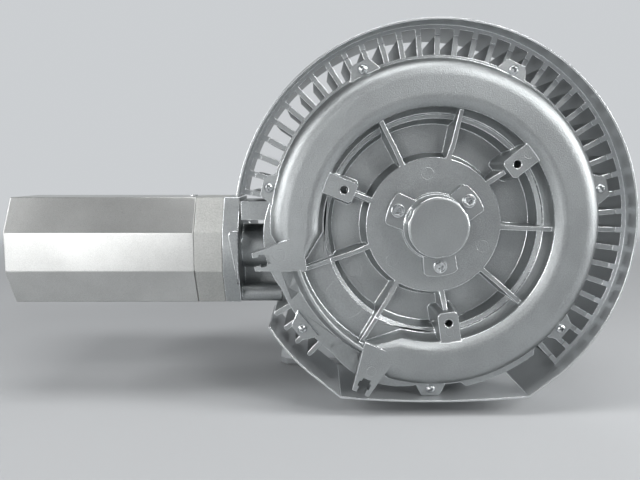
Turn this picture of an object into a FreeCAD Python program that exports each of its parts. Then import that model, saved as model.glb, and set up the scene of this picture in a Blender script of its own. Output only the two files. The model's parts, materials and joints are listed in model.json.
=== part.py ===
import FreeCAD, Part
import math
import os

import Sketcher
from FreeCAD import Placement, Rotation, Vector

# Side channel blower, in millimetres.
# The frame stands on the rotor axis, in the plane of the three tapped lug faces of the cover.
# X runs right as seen from the cover side, Y runs away along the rotor axis, Z is up.
# Angles go anticlockwise from +X, as seen from the cover side.

doc = FreeCAD.newDocument("side_channel_blower")
sheet = doc.addObject("Spreadsheet::Sheet", "Sizes")
NODES = []
ROWS = [0]
ROUND_TURN = 360


# Sizes
class Size:
    """A number with the sheet expression that gives it."""

    def __init__(self, value, text):
        self.value = float(value)
        self.text = text

    def __add__(self, other):
        other = sized(other)
        return Size(self.value + other.value, "(%s + %s)" % (self.text, other.text))

    def __radd__(self, other):
        return sized(other) + self

    def __sub__(self, other):
        other = sized(other)
        return Size(self.value - other.value, "(%s - %s)" % (self.text, other.text))

    def __rsub__(self, other):
        return sized(other) - self

    def __mul__(self, other):
        other = sized(other)
        return Size(self.value * other.value, "(%s * %s)" % (self.text, other.text))

    def __rmul__(self, other):
        return sized(other) * self

    def __truediv__(self, other):
        other = sized(other)
        return Size(self.value / other.value, "(%s / %s)" % (self.text, other.text))

    def __neg__(self):
        return Size(-self.value, "(0 - %s)" % self.text)


def sized(number):
    if isinstance(number, Size):
        return number
    return Size(number, "(%s)" % repr(float(number)))


def across(angle):
    """Share of a length that an angle leaves along X."""
    angle = sized(angle)
    return Size(math.cos(math.radians(angle.value)), "cos(%s)" % angle.text)


def upward(angle):
    """Share of a length that an angle leaves along Z."""
    angle = sized(angle)
    return Size(math.sin(math.radians(angle.value)), "sin(%s)" % angle.text)


def size(name, value):
    """A driving dimension: one row of the sheet."""
    ROWS[0] += 1
    sheet.set("A%d" % ROWS[0], name)
    sheet.set("B%d" % ROWS[0], repr(value))
    sheet.setAlias("B%d" % ROWS[0], name)
    return Size(value, "Sizes.%s" % name)


def bind(thing, path, amount):
    if isinstance(amount, Size):
        thing.setExpression(path, amount.text)


# Bodies, sketches and features
def body_of(label, node=True):
    """A body. One that is no node is a form that a casting is joined from or cut by."""
    body = doc.addObject("PartDesign::Body", label)
    body.Label = label
    if node:
        NODES.append(body)
    return body


def casting(label, forms, tools):
    """A node of forms joined in one, with the tools cut out of it."""
    solid = doc.addObject("Part::MultiFuse", label + "_solid")
    solid.Shapes = forms
    hollow = doc.addObject("Part::MultiFuse", label + "_hollow")
    hollow.Shapes = tools
    for item in (solid, hollow):
        item.Refine = False
    node = doc.addObject("Part::Cut", label)
    node.Label = label
    node.Base = solid
    node.Tool = hollow
    node.Refine = False
    NODES.append(node)
    return node


def origin_of(body, role):
    return [item for item in body.Origin.OriginFeatures if item.Role == role][0]


def sketch_on(body, plane, place=0, turn=0):
    """A sketch on the body's own plane.

    front: X and Z, at the depth place, turned about the rotor axis.
    half: radius and Y, in the half plane that stands at the angle turn.
    side: Y and Z, at X = place.   top: X and Y, at Z = place.
    """
    role = {"front": "XZ_Plane", "half": "XY_Plane", "side": "YZ_Plane", "top": "XY_Plane"}[plane]
    place = sized(place)
    turn = sized(turn)
    if plane == "front":
        place = -place
    axis = Vector(0, 0, 1)
    if plane == "half":
        turn = -turn
        axis = Vector(0, 1, 0)
    sketch = body.newObject("Sketcher::SketchObject", body.Label + "_sketch")
    sketch.AttachmentSupport = (origin_of(body, role), [""])
    sketch.MapMode = "FlatFace"
    sketch.AttachmentOffset = Placement(Vector(0, 0, place.value), Rotation(axis, turn.value))
    if place.value:
        bind(sketch, "AttachmentOffset.Base.z", place)
    if turn.value:
        sketch.AttachmentOffset = Placement(Vector(0, 0, place.value), Rotation(axis, 0))
        bind(sketch, "AttachmentOffset.Rotation.Angle", turn)
        sketch.AttachmentOffset = Placement(Vector(0, 0, place.value), Rotation(axis, turn.value))
    return sketch


def hold(sketch, edge, end, x, y):
    """Constraints that hold a point of an edge at x and y, with their expressions."""
    found = []
    for kind, amount, line in (("DistanceX", sized(x), -2), ("DistanceY", sized(y), -1)):
        if amount.value == 0:
            found.append((Sketcher.Constraint("PointOnObject", edge, end, line), None))
        else:
            rule = Sketcher.Constraint(kind, -1, 1, edge, end, amount.value)
            found.append((rule, amount.text))
    return found


def constrain(sketch, rules):
    first = len(sketch.Constraints)
    sketch.addConstraint([rule for rule, text in rules])
    for number, (rule, text) in enumerate(rules):
        if text is not None:
            sketch.setExpression("Constraints[%d]" % (first + number), text)


def circle(sketch, x, y, radius):
    x, y, radius = sized(x), sized(y), sized(radius)
    ring = Part.Circle(Vector(x.value, y.value, 0), Vector(0, 0, 1), radius.value)
    edge = sketch.addGeometry(ring)
    rules = [(Sketcher.Constraint("Radius", edge, radius.value), radius.text)]
    constrain(sketch, rules + hold(sketch, edge, 3, x, y))


def outline(sketch, points):
    """A closed outline. A point is (x, y), or (x, y, bend) where the edge that leads to it is
    an arc of that radius, which bulges to the right of its way when bend is positive."""
    ends = [(sized(point[0]), sized(point[1])) for point in points]
    bends = [sized(point[2]) if len(point) > 2 else None for point in points]
    edges = []
    rules = []
    for number in range(len(points)):
        ax, ay = [amount.value for amount in ends[number - 1]]
        bx, by = [amount.value for amount in ends[number]]
        start = Vector(ax, ay, 0)
        stop = Vector(bx, by, 0)
        bend = bends[number]
        if bend is None:
            edges.append((sketch.addGeometry(Part.LineSegment(start, stop)), 1, 2))
            continue
        radius = abs(bend.value)
        chord = stop - start
        reach = math.sqrt(max(radius ** 2 - (chord.Length / 2) ** 2, 0))
        side = Vector(chord.y, -chord.x, 0).normalize() * math.copysign(1, bend.value)
        middle = start + chord * 0.5 - side * reach
        crown = middle + side * radius
        arc = Part.Arc(start, crown, stop)
        edge = sketch.addGeometry(arc)
        first, last = (1, 2) if bend.value > 0 else (2, 1)
        edges.append((edge, first, last))
        text = bend.text if bend.value > 0 else "(0 - %s)" % bend.text
        rules.append((Sketcher.Constraint("Radius", edge, radius), text))
    for number, (edge, first, last) in enumerate(edges):
        following, next_first, _ = edges[(number + 1) % len(edges)]
        rules.append((Sketcher.Constraint("Coincident", edge, last, following, next_first), None))
        rules += hold(sketch, edge, last, *ends[number])
    constrain(sketch, rules)


def rounding(x, y, radius, start, finish, chords=2):
    """The corners of a rounding of few chords about the centre x, y, between two angles."""
    angles = [start + (finish - start) * number / chords for number in range(chords + 1)]
    return [(x + radius * across(angle), y + radius * upward(angle)) for angle in angles]


def box(x0, y0, x1, y1):
    return [(x0, y0), (x1, y0), (x1, y1), (x0, y1)]


def draw(sketch, shapes):
    for shape in shapes:
        if len(shape) == 3 and not isinstance(shape[0], tuple):
            circle(sketch, *shape)
        else:
            outline(sketch, shape)


def feature(body, kind, sketch):
    made = body.newObject("PartDesign::" + kind, body.Label + "_" + kind.lower())
    made.Profile = sketch
    made.Refine = False
    return made


def slab(body, plane, low, high, shapes, turn=0, taper=None):
    """Material between two heights above a plane, in the outlines of shapes."""
    sketch = sketch_on(body, plane, high if plane == "front" else low, turn)
    draw(sketch, shapes)
    pad = feature(body, "Pad", sketch)
    depth = sized(high) - low
    pad.Length = depth.value
    bind(pad, "Length", depth)
    if taper is not None:
        pad.TaperAngle = taper.value
        bind(pad, "TaperAngle", taper)
    body.Tip = pad
    return pad


def cut(body, plane, low, high, shapes, turn=0):
    """Material taken away between two heights above a plane."""
    sketch = sketch_on(body, plane, low if plane == "front" else high, turn)
    draw(sketch, shapes)
    pocket = feature(body, "Pocket", sketch)
    depth = sized(high) - low
    pocket.Length = depth.value
    bind(pocket, "Length", depth)
    body.Tip = pocket
    return pocket


def plate(body, shapes, thickness, turn):
    """A radial plate that stands on the half plane at an angle, half its thickness each way."""
    sketch = sketch_on(body, "half", 0, turn)
    draw(sketch, shapes)
    pad = feature(body, "Pad", sketch)
    pad.SideType = "Symmetric"
    pad.Length = thickness.value
    bind(pad, "Length", thickness)
    body.Tip = pad
    return pad


def turned(body, shapes, kind="Revolution", finish=0, sweep=ROUND_TURN):
    """A form turned about the rotor axis. A part turn ends at the angle finish."""
    sketch = sketch_on(body, "half", 0, finish)
    draw(sketch, shapes)
    made = feature(body, kind, sketch)
    made.ReferenceAxis = (sketch, ["V_Axis"])
    sweep = sized(sweep)
    made.Angle = sweep.value
    bind(made, "Angle", sweep)
    body.Tip = made
    return made


def polar(body, originals, count, step=None):
    """Copies anticlockwise about the rotor axis: all round, or by a step."""
    pattern = body.newObject("PartDesign::PolarPattern", body.Label + "_pattern")
    pattern.Originals = originals
    pattern.Axis = (origin_of(body, "Y_Axis"), [""])
    pattern.Reversed = True
    pattern.Refine = False
    if step is None:
        pattern.Angle = ROUND_TURN
    else:
        step = sized(step)
        pattern.Mode = "Spacing"
        pattern.Offset = step.value
        bind(pattern, "Offset", step)
    pattern.Occurrences = int(sized(count).value)
    bind(pattern, "Occurrences", count)
    body.Tip = pattern
    return pattern


def turned_beside(body, centre, shape, turn=0, lying=None, kind="Revolution"):
    """A form turned about its own axis in the half plane: along Y at the radius centre,
    or with lying, along the radius at the depth lying."""
    sketch = sketch_on(body, "half", 0, turn)
    outline(sketch, shape)
    if lying is None:
        spots = (sized(centre), sized(0)), (sized(centre), sized(10))
    else:
        spots = (sized(0), sized(lying)), (sized(10), sized(lying))
    start, stop = [Vector(x.value, y.value, 0) for x, y in spots]
    line = sketch.addGeometry(Part.LineSegment(start, stop), True)
    constrain(sketch, hold(sketch, line, 1, *spots[0]) + hold(sketch, line, 2, *spots[1]))
    made = feature(body, kind, sketch)
    made.ReferenceAxis = (sketch, ["Axis0"])
    made.Angle = ROUND_TURN
    body.Tip = made
    return made


def hexagon(x, y, flats, turn=0):
    corner = flats / math.sqrt(3)
    return [(x + corner * math.cos(math.radians(60 * k + turn)),
             y + corner * math.sin(math.radians(60 * k + turn))) for k in range(6)]


def octagon(middle, centre, depth, height, face, cap):
    """The silencer section, in Y and Z: upright faces, sloping shoulders and a flat cap."""
    low, high = middle - depth / 2, middle + depth / 2
    near, far = middle - cap / 2, middle + cap / 2
    base, top = centre - height / 2, centre + height / 2
    foot, head = centre - face / 2, centre + face / 2
    return [(low, foot), (near, base), (far, base), (high, foot),
            (high, head), (far, top), (near, top), (low, head)]


# Driving dimensions
# Depths along the rotor axis
joint = size("joint_depth", 21.0)
crest = size("cover_crest_depth", -5.6)
flange_face = size("cover_flange_depth", 16.2)
plate_face = size("stripper_plate_depth", 18.5)
floor_face = size("pocket_floor_depth", 36.5)
hub_face = size("hub_face_depth", 17.5)
sealing_face = size("sealing_face_depth", 23.5)
cover_back = size("cover_back_depth", 41.5)
running_gap = size("impeller_gap", 0.8)
fit = size("running_fit", 0.03)
seat = size("loose_seat", 0.3)

# Cover
flange_r = size("cover_flange_radius", 168.0)
register_r = size("register_radius", 160.5)
crest_outer = size("crest_outer_radius", 146.0)
crest_inner = size("crest_inner_radius", 128.5)
shoulder_r = size("shoulder_foot_radius", 165.0)
inner_bend = size("crest_inner_rounding", 15.0)
outer_bend = size("crest_outer_rounding", 19.0)
inner_foot = size("channel_wall_foot_radius", 112.0)
step_r = size("step_ring_radius", 107.0)
floor_outer = size("pocket_outer_radius", 103.0)
floor_inner = size("pocket_inner_radius", 73.7)
hub_r = size("hub_radius", 68.5)
rim_inner = size("stripper_rim_inner", 140.5)
rim_outer = size("stripper_rim_outer", 145.0)
rim_foot = size("stripper_rim_foot", 151.0)
channel_r = size("channel_radius", 15.0)
channel_mid = size("channel_centre_radius", 137.0)
channel_depth = size("channel_depth", 24.0)
channel_start = size("channel_start_angle", 254.0)
channel_end = size("channel_end_angle", 183.0)
blend_angle = size("channel_blend_angle", 14.0)
rib_count = size("rib_count", 9)
rib_phase = size("rib_phase_angle", -1.65)
rib_thick = size("rib_thickness", 4.5)
lug_count = size("lug_count", 3)
lug_circle = size("lug_hole_radius", 98.64)
lug_phase = size("lug_phase_angle", 38.35)
lug_inner = size("lug_inner_radius", 90.8)
lug_outer = size("lug_outer_radius", 121.2)
lug_width = size("lug_width", 20.0)
lug_draft = size("lug_draft_angle", 4.0)
lug_hole = size("lug_thread_radius", 4.0)
lug_hole_depth = size("lug_thread_depth", 18.0)
arm_angle = size("arm_angle", 190.8)
arm_step = size("arm_step_angle", 55.3)
arm_reach = size("arm_tip_radius", 184.0)
arm_tip = size("arm_tip_half_width", 9.3)
arm_root = size("arm_root_half_width", 16.2)
arm_thick = size("arm_thickness", 9.0)
port_swell = size("port_swell_radius", 173.5)
lip_middle = size("lip_middle_angle", 295.5)
lip_half = size("lip_half_angle", 14.5)
lip_reach = size("lip_radius", 173.3)
tab_count = size("cover_screw_count", 7)
tab_phase = size("cover_screw_phase", 12.74)
tab_circle = size("cover_screw_radius", 170.0)
tab_face = size("tab_face_depth", 12.4)
tab_reach = size("tab_outer_radius", 177.5)
tab_screw = size("cover_screw_shank_radius", 2.5)

# Bearings, seals and cap
bearing_bore = size("bearing_bore_radius", 12.5)
bearing_outer = size("bearing_outer_radius", 26.0)
bearing_width = size("bearing_width", 15.0)
bearing_near = size("front_bearing_depth", 20.0)
seal_r = size("front_seal_radius", 20.0)
cap_r = size("cap_base_radius", 34.0)
dome_r = size("cap_dome_radius", 31.0)
dome_face = size("cap_dome_depth", -11.0)
ear_face = size("cap_ear_depth", 5.5)
ear_reach = size("cap_ear_radius", 51.0)
ear_half = size("cap_ear_half_width", 17.0)
ear_corner = size("cap_ear_corner", 2.5)
notch_r = size("cap_notch_radius", 23.5)
cap_wall = size("cap_wall", 4.5)
cap_circle = size("cap_screw_radius", 41.0)
cap_phase = size("cap_screw_phase", 37.66)

# Housing, fins and shroud
chamber_r = size("chamber_radius", 161.0)
chamber_back = size("chamber_back_depth", 73.0)
housing_wall = size("housing_wall", 5.0)
housing_back = size("housing_flange_depth", 98.0)
fin_pitch = size("fin_pitch_angle", 5.7143)
fin_thick = size("fin_thickness", 5.6)
fin_back = size("fin_back_depth", 92.0)
fin_first = size("fin_first_angle", -47.26)
fin_count = size("fin_count", 39)
low_fin_first = size("low_fin_first_angle", 209.87)
low_fin_count = size("low_fin_count", 4)
shroud_r = size("shroud_radius", 199.6)
slot_rim = size("shroud_slot_rim", 5.9)
slot_outer = shroud_r - slot_rim
finger_length = size("shroud_finger_length", 6.5)
fin_tip = slot_outer - finger_length
shroud_low_r = size("shroud_low_radius", 195.8)
sheet_wall = size("shroud_sheet", 2.0)
shroud_near = size("shroud_near_depth", 0.7)
shroud_far = size("shroud_far_depth", 100.0)
shroud_right = size("shroud_right_angle", -50.0)
shroud_left = size("shroud_left_angle", 171.5)
shroud_low_left = size("shroud_low_left_angle", 211.2)
shroud_low_right = size("shroud_low_right_angle", 229.5)
floor_left = size("shroud_floor_left", -94.3)
floor_right = size("shroud_floor_right", 98.9)
floor_height = size("shroud_floor_height", -175.8)
floor_bow = size("shroud_floor_bow_radius", 1050.0)

# Silencers and ducts
silencer_axis = size("silencer_depth", 74.4)
silencer_pitch = size("silencer_pitch", 116.0)
silencer_up = size("silencer_height_place", -28.6)
rear_drop = size("rear_silencer_drop", 10.0)
octagon_depth = size("silencer_depth_width", 100.0)
octagon_height = size("silencer_height", 112.0)
octagon_face = size("silencer_face_height", 40.4)
octagon_cap = size("silencer_cap_width", 62.0)
tube_wall = size("silencer_wall", 4.0)
tube_left = size("silencer_left_end", -439.6)
tube_right = size("silencer_right_end", -244.8)
ring_right = size("adapter_right_end", -215.5)
manifold_wall = size("manifold_flange", 16.5)
spigot = size("adapter_spigot", 22.0)
duct_r = size("duct_radius", 24.0)
duct_bore = size("duct_bore_radius", 19.0)
duct_up = size("front_duct_height_place", -27.0)
port_r = size("port_thread_radius", 29.8)
port_boss = size("port_boss_length", 24.0)
bolt_half_depth = size("flange_bolt_half_spacing_y", 24.0)
bolt_half_height = size("flange_bolt_half_spacing_z", 42.0)
bolt_seat = size("flange_bolt_seat", -252.0)
bolt_head = size("flange_bolt_head_radius", 6.5)
bolt_well = size("flange_bolt_well_radius", 7.0)
bolt_grip = size("flange_bolt_grip", 12.0)
screw_depth = size("silencer_screw_depth", 16.0)

# Shaft, impeller and motor
shaft_front = size("shaft_front_depth", 9.0)
impeller_seat = size("impeller_seat_radius", 14.0)
impeller_front = size("impeller_hub_front", 44.6)
impeller_hub_end = size("impeller_hub_end", 66.0)
impeller_hub_r = size("impeller_hub_radius", 30.0)
vane_inner = size("vane_inner_radius", 118.0)
vane_outer = size("vane_outer_radius", 158.5)
vane_ring_inner = size("vane_ring_inner_radius", 112.5)
vane_count = size("vane_count", 46)
vane_thick = size("vane_thickness", 3.0)
web_thick = size("impeller_web", 6.0)
key_width = size("key_width", 8.0)
key_height = size("key_height", 7.0)
key_length = size("key_length", 16.0)
key_near = size("key_near_depth", 48.0)
key_bottom = size("key_bottom_height", 10.0)
clip = size("circlip_thickness", 1.5)
clip_depth = size("circlip_groove_depth", 0.8)
neck_r = size("shaft_seal_radius", 17.0)
core_seat = size("shaft_core_radius", 20.0)
frame_bore = size("frame_bore_radius", 75.0)
frame_r = size("frame_radius", 84.0)
frame_fin_r = size("frame_fin_radius", 98.0)
frame_fin_count = size("frame_fin_count", 36)
frame_back = size("frame_back_depth", 322.0)
core_near = size("core_near_depth", 150.0)
core_far = size("core_far_depth", 290.0)
winding_reach = size("winding_overhang", 25.0)
rotor_r = size("rotor_core_radius", 49.5)
air_gap = size("air_gap", 0.5)
frame_flange = size("frame_flange_radius", 106.0)
motor_bolt_circle = size("motor_bolt_radius", 96.0)
shield_circle = size("shield_bolt_radius", 91.0)
shield_end = size("shield_boss_end", 344.0)
rear_bearing_near = size("rear_bearing_depth", 324.0)
rear_seat_end = size("rear_bearing_seat_end", 341.0)
eye_depth = size("lifting_eye_depth", 132.0)
eye_seat = size("lifting_eye_seat", 104.0)
fan_near = size("fan_near_depth", 352.0)
fan_far = size("fan_far_depth", 380.0)
fan_r = size("fan_radius", 80.0)
fan_seat = size("fan_seat_radius", 10.0)
cowl_r = size("cowl_radius", 101.0)
cowl_far = size("cowl_far_depth", 398.0)
cowl_screw_y = size("cowl_screw_depth", 326.0)

# Terminal box and feet
box_half = size("terminal_box_half_width", 55.0)
box_near = size("terminal_box_near", 158.0)
box_far = size("terminal_box_far", 272.0)
box_floor = size("terminal_box_floor", 104.0)
box_top = size("terminal_box_top", 142.0)
lid_top = size("terminal_lid_top", 152.0)
gasket_thick = size("gasket_thickness", 1.5)
gland_depth = size("gland_depth", 240.0)
gland_up = size("gland_height", 124.0)
gland_r = size("gland_radius", 11.0)
pad_half = size("box_pad_half_width", 48.0)
pad_inner = size("foot_pad_inner", 50.0)
pad_outer = size("foot_pad_outer", 80.0)
pad_near = size("foot_pad_near", 160.0)
pad_far = size("foot_pad_far", 280.0)
foot_bolt_x = size("foot_bolt_half_spacing", 74.0)
foot_upright = size("foot_upright_place", 58.0)
foot_strip = size("foot_strip_half_width", 60.0)
foot_wing = size("foot_wing_near", 168.0)
foot_half = size("foot_half_width", 165.0)
foot_near = size("foot_near_depth", 62.0)
foot_far = size("foot_far_depth", 300.0)
foot_floor = size("foot_floor_height", -196.0)
foot_sheet = size("foot_sheet", 8.0)
foot_hole_x = size("foot_hole_half_spacing", 145.0)
foot_hole_near = size("foot_hole_near", 188.0)
foot_hole_far = size("foot_hole_far", 275.0)
foot_hole_r = size("foot_hole_radius", 5.5)
pad_bottom = size("frame_foot_pad_height", -100.0)

# Standard fasteners
small = size("screw_shank_m4", 2.0)
thin = size("screw_shank_m5", 2.5)
medium = size("screw_shank_m6", 3.0)
thick = size("screw_shank_m8", 4.0)


# Impeller cover: a casting with the front half of the side channel, nine ribs, three tapped
# lugs, two keyed arms and seven screw tabs. The channel stops at the stripper, lower left.
def cover_wall():
    """The channel wall, which narrows to a rim round the stripper plate."""
    body = body_of("cover_wall", False)
    foot = plate_face - 2
    whole = [
        (inner_foot - 1, sealing_face), (inner_foot - 1, plate_face), (inner_foot, plate_face),
        (inner_foot + 1.5, foot), (inner_foot + 4.5, foot - 5)]
    whole += rounding(crest_inner + 1, crest + inner_bend, inner_bend, 213, 270, 3)
    whole += rounding(crest_outer - 1, crest + outer_bend, outer_bend, 270, 335, 3)
    whole += [
        (shoulder_r, flange_face), (flange_r, flange_face), (flange_r, joint),
        (register_r, joint), (register_r, sealing_face)]
    bend = (rim_outer - rim_inner) / 2 - 0.3
    narrow = [
        (rim_inner - 2, sealing_face), (rim_inner - 2, plate_face), (rim_inner - 1, plate_face),
        (rim_inner - 0.8, foot), (rim_inner - 0.4, foot - 5)]
    narrow += rounding(rim_inner + bend, crest + bend, bend, 183, 270, 3)
    narrow += rounding(rim_outer - bend, crest + bend, bend, 270, 350, 3)
    narrow += [
        (rim_foot, flange_face), (flange_r, flange_face), (flange_r, joint),
        (register_r, joint), (register_r, sealing_face)]
    open_turn = ROUND_TURN - channel_start + channel_end
    stripper_turn = channel_start - channel_end
    turned(body, [whole], finish=channel_end, sweep=open_turn)
    turned(body, [[
        (inner_foot - 1, sealing_face), (inner_foot - 1, plate_face), (rim_inner, plate_face),
        (rim_inner, sealing_face)]], finish=channel_start, sweep=stripper_turn)
    turned(body, [narrow], finish=channel_start - blend_angle,
           sweep=stripper_turn - blend_angle * 2)
    for wide_angle, narrow_angle in (
            (channel_end, channel_end + blend_angle), (channel_start, channel_start - blend_angle)):
        ends = []
        for angle, section in ((wide_angle, whole), (narrow_angle, narrow)):
            sketch = sketch_on(body, "half", 0, angle)
            draw(sketch, [section])
            ends.append(sketch)
        loft = feature(body, "AdditiveLoft", ends[0])
        loft.Sections = [ends[1]]
        loft.Ruled = True
        body.Tip = loft
    return body


def channel_form(label, low, high):
    """The hollow of one half of the side channel, from the face low to the bottom high."""
    body = body_of(label, False)
    left, right = channel_mid - channel_r, channel_mid + channel_r
    if high.value > low.value:
        shape = [(left, low), (right, low)]
        shape += rounding(channel_mid, high - channel_r, channel_r, 0, 180, 4)
    else:
        shape = [(right, low), (left, low)]
        shape += rounding(channel_mid, high + channel_r, channel_r, 180, 360, 4)
    turned(body, [shape], finish=channel_end, sweep=ROUND_TURN - channel_start + channel_end)
    return body


def round_the_axis(label, plane, low, high, shape, turn, count, step=None, taper=None):
    """One form and its copies about the rotor axis, as a body that is no node."""
    body = body_of(label, False)
    first = slab(body, plane, low, high, [shape], turn, taper)
    polar(body, [first], count, step)
    return body


def impeller_cover():
    web = body_of("cover_web", False)
    turned(web, [[
        (bearing_outer, hub_face), (hub_r, hub_face), (floor_inner, floor_face),
        (floor_outer, floor_face), (step_r, plate_face + 3), (inner_foot, plate_face),
        (inner_foot + 2, sealing_face), (step_r + 2, sealing_face), (step_r + 1, cover_back),
        (seal_r, cover_back), (seal_r, bearing_near + bearing_width),
        (bearing_outer, bearing_near + bearing_width)]])

    # The flange swells over the two ports and has a lip at the lower right
    bulges = body_of("cover_bulges", False)
    for middle, half, reach in ((188, 15, port_swell), (249, 17, port_swell + 1.5)):
        along, aside = flange_r * across(half), flange_r * upward(half)
        rise = reach - along
        slab(bulges, "front", flange_face, joint, [[
            (along - 8, -aside), (along, -aside), (along, aside, (aside * aside + rise * rise)
                                                   / (rise * 2)),
            (along - 8, aside)]], middle)
    inside, outside = lip_half, lip_half - 1.5
    slab(bulges, "front", flange_face, joint, [[
        (flange_r * across(inside) - 4, -flange_r * upward(inside)),
        (flange_r * across(inside), -flange_r * upward(inside)),
        (lip_reach * across(outside), -lip_reach * upward(outside)),
        (lip_reach * across(outside), lip_reach * upward(outside), lip_reach),
        (flange_r * across(inside), flange_r * upward(inside)),
        (flange_r * across(inside) - 4, flange_r * upward(inside))]], lip_middle)

    tabs = round_the_axis("cover_tabs", "front", tab_face, joint, [
        (tab_circle - 8, -17.2), (tab_reach - 2.5, -11), (tab_reach, -9),
        (tab_reach, 9), (tab_reach - 2.5, 11), (tab_circle - 8, 17.2)], tab_phase, tab_count)

    # Ribs from the hub to the channel wall, two of them longer across the stripper plate
    ribs = body_of("cover_ribs", False)
    rib = plate(ribs, [[
        (hub_r - 2, hub_face), (hub_r, hub_face), (84, 9.8), (118, 7.6), (126, 7.6),
        (116, plate_face + 1), (step_r, plate_face + 4), (floor_outer + 3, floor_face + 1),
        (hub_r, floor_face + 1)]], rib_thick, rib_phase)
    polar(ribs, [rib], rib_count)
    long_ribs = body_of("cover_long_ribs", False)
    rib = plate(long_ribs, [[
        (110, 7.6), (rim_inner + 0.5, 7.6), (rim_inner + 0.5, plate_face + 1),
        (110, plate_face + 1)]], rib_thick, rib_phase + 200)
    polar(long_ribs, [rib], 2, 40)

    # Lugs with a tapped hole, wider towards the floor
    half = lug_width / 2
    lugs = round_the_axis("cover_lugs", "front", 0, floor_face + 1, [
        (lug_inner - 3, -half - 3), (lug_outer + 1, -half - 3), (lug_outer + 4, -half),
        (lug_outer + 4, half), (lug_outer + 1, half + 3), (lug_inner - 3, half + 3),
        (lug_inner - 6, half), (lug_inner - 6, -half)],
        lug_phase, lug_count, taper=-lug_draft)

    # Keyed arms, flush with the crest, with a cross-shaped slot open at the tip
    arms = round_the_axis("cover_arms", "front", crest, crest + arm_thick, [
        (crest_inner + 5, -arm_root - 1.4), (arm_reach, -arm_tip), (arm_reach, -4.4),
        (arm_reach - 6.5, -4.4), (arm_reach - 6.5, -6.3), (arm_reach - 12.5, -6.3),
        (arm_reach - 12.5, -4.2), (arm_reach - 16.5, -4.2), (arm_reach - 16.5, 4.2),
        (arm_reach - 12.5, 4.2), (arm_reach - 12.5, 6.3), (arm_reach - 6.5, 6.3),
        (arm_reach - 6.5, 4.4), (arm_reach, 4.4), (arm_reach, arm_tip),
        (crest_inner + 5, arm_root + 1.4)], arm_angle, 2, arm_step)

    channel = channel_form("cover_channel", sealing_face + 1, sealing_face - channel_depth)
    threads = body_of("cover_threads", False)
    hole = slab(threads, "front", -1, lug_hole_depth, [(lug_circle, 0, lug_hole)], lug_phase)
    polar(threads, [hole], lug_count)
    holes = body_of("cover_holes", False)
    hole = slab(holes, "front", tab_face - 1, joint + 1, [(tab_circle, 0, tab_screw)], tab_phase)
    polar(holes, [hole], tab_count)
    room = body_of("cover_room", False)
    turned(room, [[
        (step_r + 2, sealing_face), (register_r, sealing_face), (register_r, cover_back + 1),
        (step_r + 1, cover_back + 1), (step_r + 1, cover_back)]])
    casting("impeller_cover", [web, cover_wall(), bulges, tabs, ribs, long_ribs, lugs, arms],
            [channel, threads, holes, room])


# Bearing cap: a turned dome on a three-eared flange, notched beside each screw
def bearing_cap():
    body = body_of("bearing_cap")
    base = ear_face + 1.5
    inner = bearing_outer - cap_wall
    turned(body, [
        [(0, dome_face)] + rounding(dome_r - 4, dome_face + 4, 4, 270, 360)
        + [(dome_r + 0.8, base), (cap_r, base), (cap_r, hub_face), (bearing_outer, hub_face),
           (bearing_outer, bearing_near), (inner, bearing_near), (inner, dome_face + cap_wall),
           (0, dome_face + cap_wall)]])
    corner = ear_half - ear_corner
    reach = ear_reach - 2.4
    ear = slab(body, "front", ear_face, hub_face, [[
        (dome_r - 6, -ear_half + 1), (reach - ear_corner, -ear_half), (reach, -corner),
        (reach, corner, ear_reach), (reach - ear_corner, ear_half), (dome_r - 6, ear_half - 1)]],
        cap_phase)
    polar(body, [ear], lug_count)
    notch = cut(body, "front", dome_face, ear_face - 1, [(cap_circle + 11.35, 0, notch_r)],
                cap_phase)
    polar(body, [notch], lug_count)
    hole = cut(body, "front", ear_face, hub_face, [(cap_circle, 0, medium)], cap_phase)
    polar(body, [hole], lug_count)


def cap_screws():
    body = body_of("cap_screws")
    screw = turned_beside(body, cap_circle, [
        (cap_circle, ear_face - 5), (cap_circle + 4, ear_face - 5),
        (cap_circle + 5, ear_face - 4.2), (cap_circle + 5, ear_face - 1.4),
        (cap_circle + 7, ear_face - 1.2), (cap_circle + 7, ear_face),
        (cap_circle + medium, ear_face), (cap_circle + medium, hub_face),
        (cap_circle, hub_face)], cap_phase)
    polar(body, [screw], lug_count)


def cover_screws():
    body = body_of("cover_screws")
    screw = turned_beside(body, tab_circle, [
        (tab_circle, tab_face - 3.8), (tab_circle + 2.6, tab_face - 3.8),
        (tab_circle + 4.9, tab_face - 1.8), (tab_circle + 4.9, tab_face),
        (tab_circle + tab_screw, tab_face), (tab_circle + tab_screw, joint + 16),
        (tab_circle, joint + 16)], tab_phase)
    polar(body, [screw], tab_count)


# Ball bearings and lip seals, each one ring that the shaft turns in
def ring(label, inner, outer, near, far):
    body = body_of(label)
    turned(body, [[(inner, near), (outer, near), (outer, far), (inner, far)]])


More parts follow.
